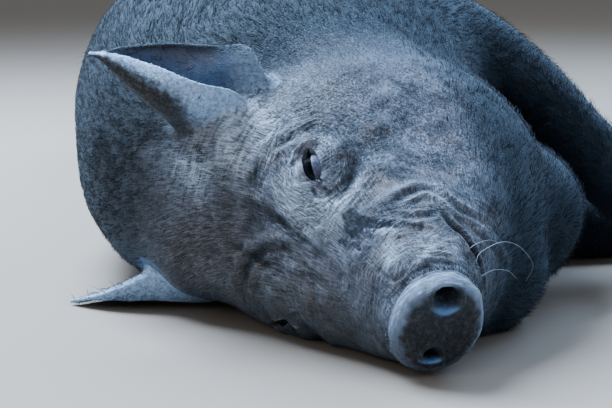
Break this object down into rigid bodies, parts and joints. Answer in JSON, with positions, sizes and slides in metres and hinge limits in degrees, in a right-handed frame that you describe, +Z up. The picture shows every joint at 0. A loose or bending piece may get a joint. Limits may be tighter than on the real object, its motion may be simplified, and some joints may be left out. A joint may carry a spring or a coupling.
{
  "type": "sleeping domestic pig",
  "caption": "Still, life-size model of a black pot-bellied pig asleep on its right side, snout and cheek on the floor, the upper ear raised and the legs stretched out to one side.",
  "frame": {"origin": "on the floor under the ribs, in the flat patch that the trunk rests on", "axes": "+Z up; +Y along the spine from the head towards the tail; +X from the back towards the belly and legs. The pig lies on its right side."},
  "size_m": [0.6349, 1.2871, 0.2982],
  "materials": {
    "hide": "dark slate-grey skin with sparse short black bristles",
    "eye": "moist and dark",
    "hoof_horn": "dull dark horn"
  },
  "bodies": {
    "root": {"torso": "hide", "neck": "hide", "head": "hide", "ear_left": "hide", "ear_right": "hide", "foreleg_left": "hide", "foreleg_right": "hide", "hindleg_left": "hide", "hindleg_right": "hide", "tail": "hide", "tail_tip": "hide", "eye_left": "eye", "eye_right": "eye", "hoof_fore_left_outer": "hoof_horn", "hoof_fore_left_inner": "hoof_horn", "dewclaw_fore_left_outer": "hoof_horn", "dewclaw_fore_left_inner": "hoof_horn", "hoof_fore_right_outer": "hoof_horn", "hoof_fore_right_inner": "hoof_horn", "dewclaw_fore_right_outer": "hoof_horn", "dewclaw_fore_right_inner": "hoof_horn", "hoof_hind_left_outer": "hoof_horn", "hoof_hind_left_inner": "hoof_horn", "dewclaw_hind_left_outer": "hoof_horn", "dewclaw_hind_left_inner": "hoof_horn", "hoof_hind_right_outer": "hoof_horn", "hoof_hind_right_inner": "hoof_horn", "dewclaw_hind_right_outer": "hoof_horn", "dewclaw_hind_right_inner": "hoof_horn"}
  },
  "joints": []
}
